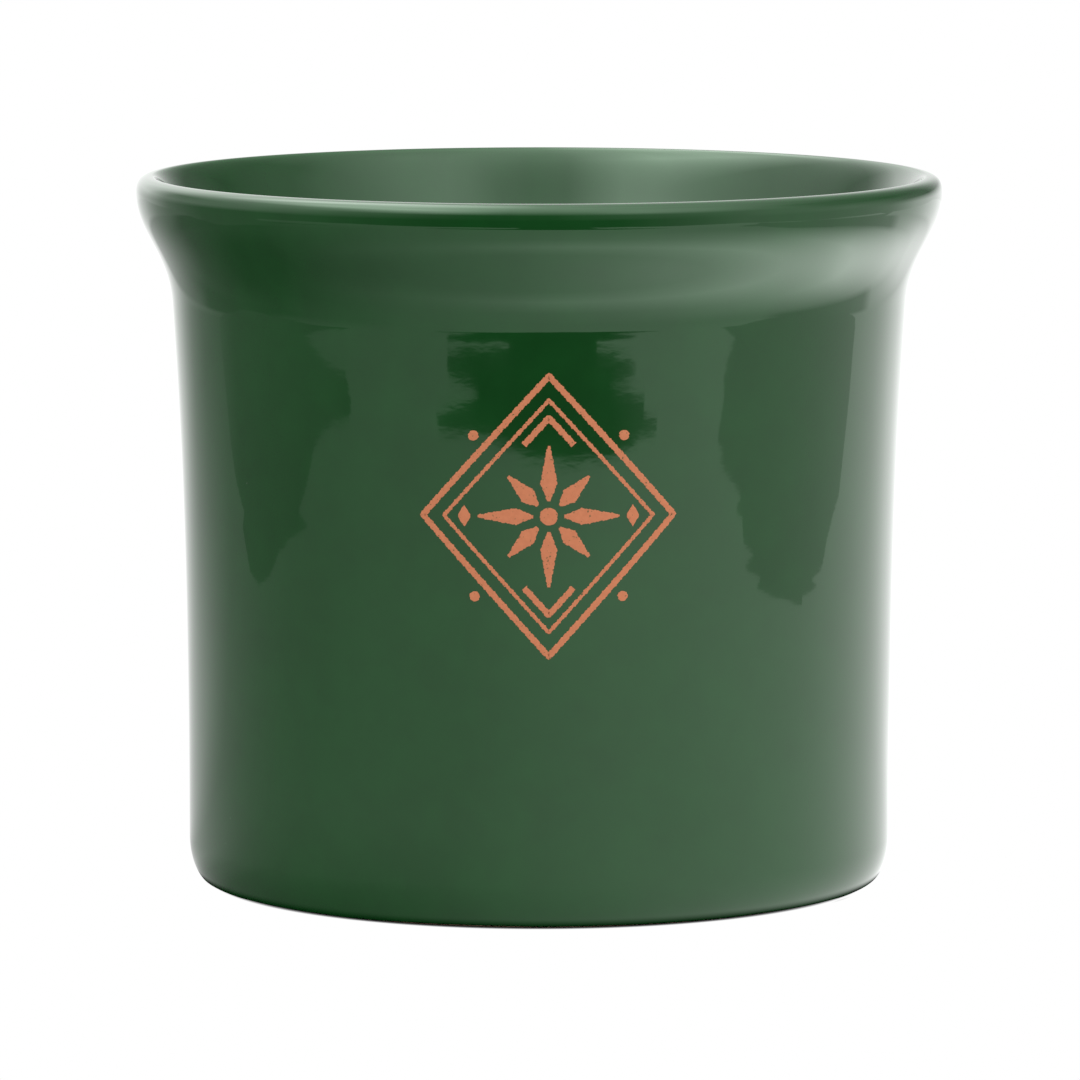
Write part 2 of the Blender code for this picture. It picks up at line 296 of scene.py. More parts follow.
def inward(outline):
    """The unit direction square to the outline, into the material, at every point of a grid or a line."""
    along = np.gradient(outline, axis=0)
    along /= np.linalg.norm(along, axis=-1, keepdims=True)
    return np.stack([-along[..., 1], along[..., 0]], axis=-1)


def grid_faces(rows, columns, closed):
    """Four-sided faces between a grid's rows. Its columns meet, and if it is closed its rows do too."""
    start = np.arange(rows if closed else rows - 1)[:, None] * columns
    following = np.roll(start, -1, axis=0) if closed else start + columns
    here = np.arange(columns)
    after = np.roll(here, -1)
    faces = np.stack([start + here, start + after, following + after, following + here], axis=-1)
    return faces.reshape(-1, 4).tolist()


def turned(name, outline, finish, closed=True):
    """A surface of revolution. Each point goes to (radius cos angle, radius sin angle, height).

    The outline is (points, 2), or (points, turns, 2) where it changes round the pot. A closed outline
    joins its last point to its first; an open one starts and ends on the axis, in two poles.
    """
    if outline.ndim == 2:
        outline = np.repeat(outline[:, None], TURNS, axis=1)
    angle = np.arange(TURNS) * 2 * math.pi / TURNS
    radius, z = outline[..., 0], outline[..., 1]
    points = np.stack([radius * np.cos(angle), radius * np.sin(angle), z], axis=-1)
    if closed:
        return surface(name, points.reshape(-1, 3), grid_faces(len(points), TURNS, True), finish)
    middle = points[1:-1].reshape(-1, 3)
    first_pole, last_pole = len(middle), len(middle) + 1
    here = np.arange(TURNS)
    after = np.roll(here, -1)
    last_row = len(middle) - TURNS
    first_fan = np.column_stack([np.full(TURNS, first_pole), after, here])
    last_fan = np.column_stack([np.full(TURNS, last_pole), last_row + here, last_row + after])
    faces = grid_faces(len(points) - 2, TURNS, False) + first_fan.tolist() + last_fan.tolist()
    return surface(name, np.concatenate([middle, points[:1, 0], points[-1:, 0]]), faces, finish)


def surface(name, points, faces, finish):
    """A smooth piece with its place in its mesh, and an edge kept wherever two faces meet sharply."""
    mesh = bpy.data.meshes.new(name)
    mesh.from_pydata(points.tolist(), [], faces)
    mesh.materials.append(finish)
    mesh.shade_smooth()
    mesh.set_sharp_from_angle(angle=SHARP_ANGLE)
    piece = bpy.data.objects.new(name, mesh)
    bpy.context.scene.collection.objects.link(piece)
    return piece


def waver(place, waves, seed):
    """A sum of sines, given as (wavelength, height) pairs, each starting at its own random phase."""
    phases = np.random.default_rng(seed).uniform(0, 2 * math.pi, len(waves))
    pairs = zip(waves, phases)
    return sum(height * np.sin(2 * math.pi * place / length + phase) for (length, height), phase in pairs)


def waver_round(waves, seed):
    """The same round the pot, from (number of waves, height) pairs, so that it meets itself."""
    place = np.arange(TURNS) / TURNS
    return waver(place, [(1 / count, height) for count, height in waves], seed)


def outer_glaze(finish):
    """The coat outside: its lower edge wavers, and rounds in to the clay with a quarter ellipse."""
    edge = heel_angle(GLAZE_LINE + waver_round(GLAZE_LINE_WAVES, 3))
    up_heel = np.linspace(0, 1, HEEL_STEPS + 1)[:-1, None] ** HEEL_CROWDING
    rest = np.concatenate([UPPER_OUTSIDE, lip_inside()[1:]])
    outline = np.concatenate([heel(edge * (1 - up_heel)), np.repeat(rest[:, None], TURNS, axis=1)])
    into = inward(outline)
    steps = np.linalg.norm(np.diff(outline, axis=0), axis=-1)
    run = np.concatenate([np.zeros((1, TURNS)), np.cumsum(steps, axis=0)])
    share = np.clip(run / GLAZE_LINE_ROUND, 0, 1)
    sunk = GLAZE * (1 - np.sqrt(1 - (1 - share) ** 2))
    finished = outline + into * sunk[..., None]
    hidden = (outline + into * GLAZE)[1::OUTER_HIDDEN_KEEPS]
    return turned("outer_glaze_coat", np.concatenate([finished, hidden[::-1]]), finish)


def liner_glaze(finish):
    """The coat inside, from the lip's seam to the middle of the floor."""
    finished = inner_wall_and_floor()
    hidden = (finished + inward(finished) * GLAZE)[::LINER_HIDDEN_KEEPS]
    outline = np.concatenate([finished[::-1], hidden, [(0, FLOOR_Z - GLAZE)]])
    return turned("liner_glaze_coat", outline, finish, closed=False)


def base_glaze(finish):
    """The coat in the hollow: a flat disc whose edge wavers and is rounded with a quarter ellipse."""
    reach = HOLLOW_RADIUS - RECESS_SLOPE - BASE_MARGIN
    edge = reach - BASE_WAVE_ROOM + waver_round(BASE_WAVES, 8)
    angle = np.linspace(0, math.pi / 2, BASE_EDGE_STEPS + 1)[:, None]
    edge_z = np.repeat(RECESS + GLAZE * (1 - np.cos(angle)), TURNS, axis=1)
    rounded = np.stack([edge - BASE_EDGE_ROUND * (1 - np.sin(angle)), edge_z], axis=-1)
    inner = np.linspace(0, 1, BASE_STEPS + 1)[:-1, None]
    disc = np.stack([inner * rounded[0, :, 0], np.full((BASE_STEPS, TURNS), RECESS)], axis=-1)
    top = np.full((1, TURNS, 2), (0, RECESS + GLAZE))
    return turned("base_glaze_coat", np.concatenate([disc, rounded, top]), finish, closed=False)


def stoneware(finish):
    """The clay, just under the coats, with a rounded foot ring and the hollow inside it.

    It is the finished outline moved in by a coat. The toe, the ring's inner edge and the hollow's slope
    are cubic curves.
    """
    under = GLAZE + CLAY_GAP
    up_heel = heel(np.linspace(heel_angle(CLAY_LINE), 0, CLAY_HEEL_STEPS + 1)[:-1])
    inside = [lip_inside()[1::CLAY_KEEPS], inner_wall_and_floor()[1::CLAY_KEEPS]]
    outline = np.concatenate([up_heel, UPPER_OUTSIDE[::CLAY_KEEPS], *inside])
    clay = outline + inward(outline) * under
    clay = np.concatenate([clay[:-1], [(0, FLOOR_Z - under)]])
    toe_start = FOOT_RADIUS - TOE_SET_IN
    toe_handle = (clay[0, 0] - TOE_RUN, TOE_RISE)
    toe = bezier((toe_start, 0), (toe_start + TOE_PULL, 0), toe_handle, clay[0], TOE_STEPS)
    ring_edge = np.array([HOLLOW_RADIUS, 0])
    ring = bezier(*(ring_edge + RING_CURVE), RING_STEPS)
    ceiling_z = RECESS + under
    ceiling_end = HOLLOW_RADIUS - RECESS_SLOPE - CEILING_ROUND
    ceiling_handle = (ceiling_end + CEILING_PULL, ceiling_z)
    hollow = bezier((ceiling_end, ceiling_z), ceiling_handle, ring_edge + SLOPE_HANDLE, ring[0], RING_STEPS)
    ceiling_radius = np.linspace(0, ceiling_end, CEILING_POINTS)
    ceiling = np.column_stack([ceiling_radius, np.full(CEILING_POINTS, ceiling_z)])
    outline = np.concatenate([ceiling, hollow[1:], ring[1:], toe[:-1], clay])
    return turned("stoneware_clay", outline, finish, closed=False)


# The print


def on_wall(across, up, lift):
    """A place on the flat drawing goes round the wall by its width and up it by its height."""
    z = PRINT_CENTRE + up
    radius = wall_radius(z) + lift
    angle = across / wall_radius(PRINT_CENTRE)
    return np.stack([radius * np.sin(angle), -radius * np.cos(angle), z], axis=-1)


def stamped(node, middle, half_width, finish, seed, ring=False):
    """A thin island of enamel along a line: half_width to each side of it, with edges that waver.

    Its section is flat on top, rounded off at both edges and flat below, and the section is carried
    along the line. An island that isn't a ring is closed at both ends.
    """
    if ring:
        along = np.roll(middle, -1, 0) - np.roll(middle, 1, 0)
    else:
        along = np.gradient(middle, axis=0)
    along /= np.linalg.norm(along, axis=1)[:, None]
    side = np.column_stack([-along[:, 1], along[:, 0]])
    run = np.concatenate([[0], np.cumsum(np.linalg.norm(np.diff(middle, axis=0), axis=1))])
    waves = np.array(EDGE_WAVES) * MILLIMETRE
    left = half_width + waver(run, waves, seed)
    right = half_width + waver(run, waves, seed + OTHER_EDGE_SEED)
    reach = np.where(SECTION_ACROSS < 0, left[:, None], right[:, None]) * SECTION_ACROSS
    flat = middle[:, None] + side[:, None] * reach[..., None]
    points = on_wall(flat[..., 0], flat[..., 1], SECTION_UP[None, :] * ENAMEL)
    count = len(SECTION_ACROSS)
    faces = grid_faces(len(middle), count, ring)
    if not ring:
        here = np.arange(count)
        faces += [here[::-1].tolist(), ((len(middle) - 1) * count + here).tolist()]
    piece = surface(node + "_enamel", points.reshape(-1, 3), faces, finish)
    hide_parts(node)
    return piece


def half_lozenge(inset):
    """Half the width and half the height of the lozenge whose sides lie in by a distance."""
    distance = PRINT_HALF.prod() / np.linalg.norm(PRINT_HALF)
    return PRINT_HALF * (1 - inset / distance)


def border(name, inset, line, finish, seed):
    """The lozenge's outline: a line through its four corners, moved in by a distance."""
    corners = np.array([(1, 0), (0, 1), (-1, 0), (0, -1), (1, 0)]) * half_lozenge(inset + line / 2)
    share = np.linspace(0, 1, BORDER_STEPS + 1)[:-1, None]
    sides = zip(corners, corners[1:])
    middle = np.concatenate([start + (end - start) * share for start, end in sides])
    return stamped(name, middle, np.full(len(middle), line / 2), finish, seed, ring=True)


def strip(name, start, end, half_widths, places, finish, seed):
    """A straight island whose width follows a few given half-widths along it."""
    length = np.linalg.norm(np.subtract(end, start))
    share = np.linspace(0, 1, max(LEAST_POINTS, int(length / PRINT_STEP)))
    middle = np.array(start) + (np.array(end) - np.array(start)) * share[:, None]
    half_width = np.interp(share, places, half_widths)
    return stamped(name, middle, half_width, finish, seed)


def dot(name, centre, radius, finish, seed):
    """A round island: its half-width at each level is the circle's."""
    up = np.linspace(-DOT_END, DOT_END, max(LEAST_POINTS, int(2 * radius / PRINT_STEP)))
    middle = np.column_stack([np.full_like(up, centre[0]), centre[1] + radius * up])
    return stamped(name, middle, radius * np.sqrt(1 - up**2), finish, seed)


def chevron(name, point_z, upright, finish, seed):
    """A V whose arms run along the sides of the lozenge, with its point up at 1 or down at -1."""
    across = np.linspace(-CHEVRON_WIDTH / 2, CHEVRON_WIDTH / 2, CHEVRON_POINTS)
    drop = CHEVRON_LINE * math.hypot(1, PRINT_SLOPE)
    up = upright * (point_z - np.abs(across) * PRINT_SLOPE - drop / 2)
    half_width = np.full(len(across), CHEVRON_LINE / 2)
    return stamped(name, np.column_stack([across, up]), half_width, finish, seed)


def enamel_print(finish):
    """Two borders, a star of eight rays, chevrons, diamonds and dots, all where their nodes are."""
    pieces = [
        border("print_border_outer", 0, OUTER_LINE, finish, seed=11),
        border("print_border_inner", INNER_INSET, INNER_LINE, finish, seed=12),
        dot("print_centre", (0, 0), CENTRE_RADIUS, finish, seed=13),
    ]
    clear_x, clear_z = half_lozenge(CLEAR_INSET)
    chevron_z = clear_z - CHEVRON_GAP
    diamond_x = clear_x - DIAMOND_GAP - DIAMOND_LENGTH
    level_tip = diamond_x - RAY_TO_DIAMOND
    upright_tip = chevron_z - CHEVRON_LINE * math.hypot(1, PRINT_SLOPE) - RAY_TO_CHEVRON
    slanting_tip = RAY_START + SLANTING_SHARE * (level_tip - RAY_START)
    for number, tip in enumerate([level_tip, slanting_tip, upright_tip, slanting_tip] * 2):
        angle = number * math.pi / 4
        out = np.array([math.cos(angle), math.sin(angle)])
        ends = out * RAY_START, out * tip
        name, seed = f"print_ray_{number + 1}", 20 + number
        pieces.append(strip(name, *ends, RAY_HALF_WIDTHS, RAY_PLACES, finish, seed))
    for name, sign in (("print_diamond_right", 1), ("print_diamond_left", -1)):
        ends = (sign * diamond_x, 0), (sign * (diamond_x + DIAMOND_LENGTH), 0)
        pieces.append(strip(name, *ends, DIAMOND_HALF_WIDTHS, DIAMOND_PLACES, finish, seed=31 + sign))
    pieces.append(chevron("print_chevron_top", chevron_z, 1, finish, seed=34))
    pieces.append(chevron("print_chevron_bottom", chevron_z, -1, finish, seed=35))
    outward = PRINT_HALF[::-1] / np.linalg.norm(PRINT_HALF)
    for number, signs in enumerate([(1, 1), (-1, 1), (-1, -1), (1, -1)], 1):
        centre = (PRINT_HALF / 2 + outward * DOT_GAP) * signs
        pieces.append(dot(f"print_dot_{number}", centre, DOT_RADIUS, finish, seed=40 + number))
    return pieces


# Materials


def new_finish(name):
    """A material with a plain shader, and the place on the object that its patterns follow."""
    made = bpy.data.materials.new(name)
    tree = empty_tree(made)
    shader = add(tree, "BsdfPrincipled")
    add(tree, "OutputMaterial", {"Surface": shader.outputs["BSDF"]})
    place = add(tree, "TexCoord").outputs["Object"]
    return made, tree, shader, place


def glossy_green_glaze():
    """Glossy stoneware glaze, poured and fired: deep bottle green under a clear glassy face.

    It reflects like window glass, so its own dark green shows only where the studio is dim. It lies a
    little thinner and paler over the lip. Its face has ripples of a micron or two, longer swells and a
    few pinholes.
    """
    drift_size, cloud_size = 45 * MILLIMETRE, 9 * MILLIMETRE
    swell_size, swell_height = 30 * MILLIMETRE, 0.005 * MILLIMETRE
    ripple_size, ripple_height = 4.2 * MILLIMETRE, 0.0015 * MILLIMETRE
    ripple_stretch = (1, 1, 1.9)  # ripples are wider than they are tall
    pinhole_gap, pinhole_depth = 16 * MILLIMETRE, 0.03 * MILLIMETRE
    pinhole_floor, pinhole_edge = 0.006, 0.016  # as shares of the gap
    lip_band, lip_paleness = 1 * MILLIMETRE, 0.3

    made, tree, shader, place = new_finish("Glossy green glaze")
    drift = add(tree, "TexNoise", {"Vector": place, "Scale": 1 / drift_size, "Detail": 2.0, "Roughness": 0.5})
    cloud = add(tree, "TexNoise", {"Vector": place, "Scale": 1 / cloud_size, "Detail": 3.0, "Roughness": 0.6})
    mixed = add(tree, "Math", {0: drift.outputs["Fac"], 1: cloud.outputs["Fac"]}, operation="ADD")
    depth = add(tree, "MapRange", {"Value": mixed.outputs[0], "From Min": 0.75, "From Max": 1.25})
    greens = {"Factor": depth.outputs[0], "A": linear("#0D3614"), "B": linear("#0F3C17")}
    body = add(tree, "Mix", greens, data_type="RGBA")

    height = add(tree, "SeparateXYZ", {"Vector": place}).outputs["Z"]
    over_lip = {"Value": height, "From Min": HEIGHT - lip_band, "From Max": HEIGHT, "To Max": lip_paleness}
    thin = add(tree, "MapRange", over_lip, interpolation_type="SMOOTHSTEP")
    paler = {"Factor": thin.outputs[0], "A": body.outputs[MIXED_COLOUR], "B": linear("#1E5A2A")}
    colour = add(tree, "Mix", paler, data_type="RGBA")

    stretched = add(tree, "Mapping", {"Vector": place, "Scale": ripple_stretch}).outputs[0]
    ripple = add(tree, "TexNoise", {"Vector": stretched, "Scale": 1 / ripple_size, "Detail": 2.0})
    swell = add(tree, "TexNoise", {"Vector": place, "Scale": 1 / swell_size, "Detail": 0.0})
    pinhole = add(tree, "TexVoronoi", {"Vector": place, "Scale": 1 / pinhole_gap, "Randomness": 1.0})
    hole = {"Value": pinhole.outputs["Distance"], "From Min": pinhole_floor, "From Max": pinhole_edge}
    pit = add(tree, "MapRange", hole, interpolation_type="SMOOTHSTEP")
    face = add(tree, "Bump", {"Height": swell.outputs["Fac"], "Strength": 1.0, "Distance": swell_height})
    for relief, distance in ((ripple.outputs["Fac"], ripple_height), (pit.outputs[0], pinhole_depth)):
        bump = {"Height": relief, "Strength": 1.0, "Distance": distance, "Normal": face.outputs[0]}
        face = add(tree, "Bump", bump)
    fill(tree, shader, {"Base Color": colour.outputs[MIXED_COLOUR], "Normal": face.outputs[0]})
    fill(tree, shader, {"Specular Tint": linear("#E2FFE6"), "Roughness": 0.025, "IOR": 1.5})
    return made


def bare_stoneware():
    """Buff stoneware clay, fired and wiped clean: a dry face, grit of half a millimetre and iron specks."""
    grit_size, grit_height = 0.6 * MILLIMETRE, 0.2 * MILLIMETRE
    speck_gap = 3.5 * MILLIMETRE
    speck_middle, speck_edge = 0.05, 0.11  # as shares of the gap

    made, tree, shader, place = new_finish("Bare buff stoneware")
    grit = add(tree, "TexNoise", {"Vector": place, "Scale": 1 / grit_size, "Detail": 3.0, "Roughness": 0.7})
    buffs = {"Factor": grit.outputs["Fac"], "A": linear("#A98F6C"), "B": linear("#D2BB98")}
    body = add(tree, "Mix", buffs, data_type="RGBA")
    iron = add(tree, "TexVoronoi", {"Vector": place, "Scale": 1 / speck_gap})
    near = {"Value": iron.outputs["Distance"], "From Min": speck_middle, "From Max": speck_edge}
    speck = add(tree, "MapRange", {**near, "To Min": 1.0, "To Max": 0.0})
    specks = {"Factor": speck.outputs[0], "A": body.outputs[MIXED_COLOUR], "B": linear("#5A3B26")}
    colour = add(tree, "Mix", specks, data_type="RGBA")
    rough = add(tree, "Bump", {"Height": grit.outputs["Fac"], "Strength": 0.6, "Distance": grit_height})
    fill(tree, shader, {"Base Color": colour.outputs[MIXED_COLOUR], "Normal": rough.outputs[0]})
    fill(tree, shader, {"Roughness": 0.85, "IOR": 1.5})
    return made


def copper_enamel():
    """Copper-coloured enamel, printed and fired on: a flat, satin film with gaps where the ink missed."""
    ink_size, miss_size = 1.1 * MILLIMETRE, 0.5 * MILLIMETRE
    bare_below, inked_above, bareness = 0.29, 0.33, 0.9

    made, tree, shader, place = new_finish("Copper-coloured enamel")
    ink = add(tree, "TexNoise", {"Vector": place, "Scale": 1 / ink_size, "Detail": 3.0, "Roughness": 0.6})
    coppers = {"Factor": ink.outputs["Fac"], "A": linear("#AD6542"), "B": linear("#C17752")}
    body = add(tree, "Mix", coppers, data_type="RGBA")
    miss = add(tree, "TexNoise", {"Vector": place, "Scale": 1 / miss_size, "Detail": 2.0, "Roughness": 0.5})
    missed = {"Value": miss.outputs["Fac"], "From Min": bare_below, "From Max": inked_above}
    gap = add(tree, "MapRange", {**missed, "To Min": bareness, "To Max": 0.0})
    gaps = {"Factor": gap.outputs[0], "A": body.outputs[MIXED_COLOUR], "B": linear("#123F1A")}
    colour = add(tree, "Mix", gaps, data_type="RGBA")
    fill(tree, shader, {"Base Color": colour.outputs[MIXED_COLOUR], "Roughness": 0.5, "IOR": 1.4})
    return made


# The studio. Its bearings are in degrees: 0 is towards the camera, 90 to the right and 180 behind the pot

PEAK = 7.0  # ramps hold levels as shares of this one
GLOSS_GAIN = 1.3  # makes up for the green tint of what the glaze reflects
PLAIN_SIDE, PLAIN_TOP = 1.0, 1.9  # what lights matt surfaces, from level and from overhead
PLAIN_LEFT, PLAIN_RIGHT = 0.84, 1.2  # times this from either side
PLAIN_TABLE = 0.9  # and from the table

# What the glaze reflects of the studio: each row is for one elevation in degrees, as (bearing, level) pairs
SKY = {
    -3: (
        (-180, 0.9), (-165, 1.05), (-148, 0.9), (-140, 0.72), (-131, 0.45), (-112, 0.26), (-89, 0.3),
        (-71, 0.3), (-40, 0.12), (-20, 0.04), (3, 0.04), (23, 0.08), (46, 0.52), (60, 0.85), (118, 0.85),
        (135, 1.3), (160, 1.2), (180, 0.9),
    ),
    5: (
        (-180, 0.9), (-165, 1.2), (-150, 1.45), (-141, 1.15), (-134, 0.8), (-124, 0.72), (-112, 0.8),
        (-90, 0.9), (-71, 0.74), (-39, 0.29), (-19, 0.11), (3, 0.1), (23, 0.35), (46, 0.58), (65, 1.0),
        (99, 1.0), (128, 0.4), (148, 0.18), (165, 0.6), (180, 0.9),
    ),
    20: (
        (-180, 0.8), (-167, 1.4), (-150, 1.5), (-141, 1.05), (-132, 0.58), (-123, 0.58), (-104, 1.0),
        (-90, 1.3), (-72, 1.3), (-56, 0.9), (-40, 0.6), (-19, 0.13), (3, 0.12), (24, 0.45), (48, 0.85),
        (68, 1.04), (81, 1.0), (95, 0.62), (124, 0.2), (150, 0.22), (165, 0.42), (180, 0.8),
    ),
    36: (
        (-180, 0.62), (-165, 1.8), (-135, 1.9), (-107, 1.6), (-88, 1.72), (-62, 2.45), (-42, 3.1),
        (-31, 3.1), (-23, 2.4), (-10, 1.36), (3, 1.26), (15, 1.52), (26, 2.25), (34, 2.45), (53, 2.05),
        (73, 1.38), (93, 0.64), (116, 0.4), (150, 0.38), (180, 0.62),
    ),
    52: (
        (-180, 1.1), (-167, 4.4), (-145, 5.0), (-122, 3.4), (-83, 5.6), (-50, 6.0), (-30, 4.2),
        (-12, 2.4), (3, 2.1), (37, 2.6), (58, 2.3), (80, 1.6), (98, 1.2), (125, 0.75), (165, 0.8),
        (180, 1.1),
    ),
    72: (
        (-180, 2.2), (-146, 5.4), (-90, 5.4), (-49, 4.2), (-4, 2.7), (31, 2.5), (72, 2.1), (119, 1.8),
        (160, 1.5), (180, 2.2),
    ),
}
ZENITH = 2.7
OVERHEAD = 90

# The table's light in the glaze, where it is seen nearly along its top: close to the pot, and far from it
TABLE_FRONT = (
    (-67, 0.54), (-52, 0.64), (-37, 0.7), (-22, 0.76), (-7, 0.88), (7, 1.0), (22, 1.13), (37, 1.21),
    (52, 1.33),
)
TABLE_NEAR = (
    (-180, 0.9), (-150, 0.8), (-127, 0.69), (-112, 0.51), (-97, 0.48), (-82, 0.48), *TABLE_FRONT, (67, 1.38),
    (97, 1.36), (127, 1.26), (142, 1.28), (157, 1.1), (180, 0.9),
)
TABLE_FAR = (
    (-180, 0.95), (-163, 1.0), (-150, 0.9), (-137, 0.56), (-127, 0.42), (-112, 0.36), (-97, 0.45),
    (-82, 0.48), *TABLE_FRONT, (67, 1.36), (97, 1.36), (127, 1.3), (142, 1.42), (157, 1.32), (180, 0.95),
)
TABLE_NEAR_END, TABLE_FAR_START = 0.35, 0.85
# The same where it is seen more steeply: each row is for one steepness in degrees
TABLE_LOW = 10.5
TABLE_STEEP = {
    12: (
        (-180, 0.8), (-150, 0.58), (-127, 0.4), (-120, 0.23), (-88, 0.23), (-82, 0.45), *TABLE_FRONT,
        (72, 1.35), (80, 0.85), (116, 0.85), (121, 1.35), (157, 1.2), (180, 0.8),
    ),
    18.5: (
        (-180, 0.8), (-150, 0.6), (-136, 0.42), (-120, 0.2), (-82, 0.2), (-67, 0.37), (-52, 0.5),
        (-37, 0.7), (-22, 0.79), (-7, 0.9), (7, 1.0), (22, 1.12), (37, 1.2), (52, 1.25), (68, 1.25),
        (76, 0.85), (116, 0.85), (121, 1.5), (142, 1.9), (157, 1.6), (180, 0.8),
    ),
    21.5: (
        (-180, 0.8), (-150, 0.64), (-136, 0.41), (-120, 0.22), (-97, 0.19), (-82, 0.21), (-67, 0.36),
        (-52, 0.5), (-37, 0.7), (-22, 0.79), (-7, 0.9), (7, 1.01), (22, 1.14), (37, 1.25), (52, 1.33),
        (67, 1.38), (97, 1.45), (112, 1.7), (127, 2.1), (142, 2.3), (157, 1.7), (180, 0.8),
    ),
    32: (
        (-180, 0.9), (-150, 0.52), (-136, 0.28), (-120, 0.14), (-97, 0.1), (-82, 0.15), (-67, 0.29),
        (-52, 0.48), (-37, 0.7), (-22, 0.83), (-7, 0.97), (7, 1.15), (22, 1.38), (37, 1.65), (52, 1.95),
        (67, 2.25), (89, 2.9), (100, 3.35), (127, 3.1), (142, 3.1), (157, 1.8), (180, 0.9),
    ),
    43: (
        (-180, 0.9), (-150, 0.42), (-136, 0.24), (-120, 0.1), (-97, 0.07), (-82, 0.11), (-67, 0.27),
        (-52, 0.5), (-37, 0.74), (-22, 1.0), (-7, 1.35), (7, 1.75), (22, 2.1), (37, 2.5), (52, 2.95),
        (62, 3.2), (112, 3.25), (127, 3.3), (142, 3.2), (157, 1.8), (180, 0.9),
    ),
    52: (
        (-180, 0.9), (-150, 0.42), (-136, 0.24), (-120, 0.1), (-97, 0.09), (-82, 0.15), (-67, 0.26),
        (-52, 0.44), (-37, 0.68), (-22, 0.86), (-7, 1.02), (7, 1.28), (22, 1.6), (37, 1.95), (52, 2.2),
        (62, 2.35), (82, 2.8), (112, 3.1), (142, 3.2), (157, 1.8), (180, 0.9),
    ),
}
STEEP_START, STEEP_END = 0.11, 0.15  # those rows come in between these distances from the axis
# How much of the table's light is left beside the foot, which is shaded on the left
FOOT_SHADE = (
    (-180, 0.8), (-112, 1.25), (-97, 1.3), (-82, 0.6), (-67, 0.12), (-52, 0.06), (-37, 0.1), (-22, 0.3),
    (-7, 0.6), (7, 0.8), (22, 1.05), (37, 1.25), (52, 1.15), (67, 0.95), (97, 0.87), (180, 0.8),
)
FOOT_SHADE_PEAK = 1.4
FOOT_SHADE_START, FOOT_SHADE_END = 0.076, 0.22
FOOT_SHADE_EASE = 0.38  # the power that makes the shade let go fast at first
DARK_RADIUS, OPEN_RADIUS = 0.0751, 0.078  # no light reaches the table inside the first
CONTACT_REACH = 0.0007  # the dark line that the camera sees where the pot stands
CONTACT_SAMPLES = 16

# The table's outline, placed so that its edges give the patches that the glaze reflects
TABLE_LEFT = (
    (-0.95, 0.55), (-0.745, 0.34), (-0.65, 0.25), (-0.615, 0.205), (-0.585, 0.145), (-0.565, 0.15),
    (-0.515, 0.095), (-0.505, 0.055), (-0.515, 0.01), (-0.54, -0.03), (-0.548, -0.085), (-0.54, -0.15),
    (-0.565, -0.115), (-0.58, -0.16), (-0.595, -0.195), (-0.59, -0.225), (-0.575, -0.27), (-0.54, -0.325),
    (-0.54, -0.34), (-0.57, -0.33), (-0.61, -0.28), (-0.69, -0.18), (-0.76, -0.09), (-0.88, -0.1),
    (-0.8, -0.32), (-0.64, -0.5), (-0.47, -0.58), (-0.24, -0.68), (-0.06, -0.69), (-0.07, -0.64),
)
TABLE_NOTCH = (
    (-0.1, -0.622), (-0.177, -0.606), (-0.226, -0.592), (-0.285, -0.566), (-0.288, -0.559), (-0.274, -0.56),
    (-0.219, -0.577), (-0.182, -0.584), (-0.267, -0.547), (-0.31, -0.522), (-0.295, -0.522),
    (-0.21, -0.556), (-0.152, -0.57), (-0.076, -0.578), (0.035, -0.576), (0.144, -0.561), (0.298, -0.516),
    (0.342, -0.494), (0.35, -0.496), (0.311, -0.524), (0.32, -0.527), (0.271, -0.555), (0.214, -0.579),
    (0.28, -0.557), (0.304, -0.549), (0.277, -0.566), (0.231, -0.587), (0.183, -0.604), (0.17, -0.63),
    (0.16, -0.68),
)
TABLE_RIGHT = (
    (0.3, -0.66), (0.39, -0.6), (0.54, -0.55), (0.69, -0.46), (0.7, -0.37), (0.59, -0.335), (0.565, -0.35),
    (0.54, -0.36), (0.54, -0.35), (0.5, -0.353), (0.508, -0.327), (0.493, -0.34), (0.511, -0.29),
    (0.518, -0.26), (0.497, -0.27), (0.503, -0.248), (0.486, -0.235), (0.491, -0.198), (0.466, -0.222),
    (0.478, -0.168), (0.462, -0.18), (0.478, -0.088), (0.479, -0.02), (0.49, -0.02), (0.503, 0.043),
    (0.511, 0.019), (0.526, 0.07), (0.555, 0.096), (0.586, 0.143), (0.6, 0.176), (0.65, 0.22),
    (0.7, 0.269), (0.74, 0.3), (0.95, 0.48),
)
TABLE_BACK = ((0.95, 1.6), (-0.95, 1.6))
SIDE_TABLE = (
    (0.702, -0.46), (0.74, -0.31), (0.79, -0.15), (0.9, 0.06), (0.98, 0.36), (0.87, 0.36), (0.8, 0.06),
    (0.72, -0.15), (0.702, -0.32),
)


def studio_bearing(tree, vector):
    """A place's or direction's bearing as a share of the ramps' full turn, and its parts in the studio."""
    turned_back = add(tree, "VectorRotate", {"Vector": vector, "Angle": -VIEW_TURN}, rotation_type="Z_AXIS")
    x, y, z = add(tree, "SeparateXYZ", {"Vector": turned_back.outputs[0]}).outputs
    forward = add(tree, "Math", {0: y, 1: -1.0}, operation="MULTIPLY")
    angle = add(tree, "Math", {0: x, 1: forward.outputs[0]}, operation="ARCTAN2")
    full_turn = {"Value": angle.outputs[0], "From Min": -math.pi, "From Max": math.pi}
    return add(tree, "MapRange", full_turn).outputs[0], x, y, z


def light_round(tree, share, levels, peak=PEAK):
    """The level at a share of the full turn, as a share of the peak, from (bearing, level) pairs."""
    stops = [((bearing + 180) / 360, level / peak) for bearing, level in levels]
    return add(tree, "ValToRGB", {"Fac": share}, stops).outputs[0]


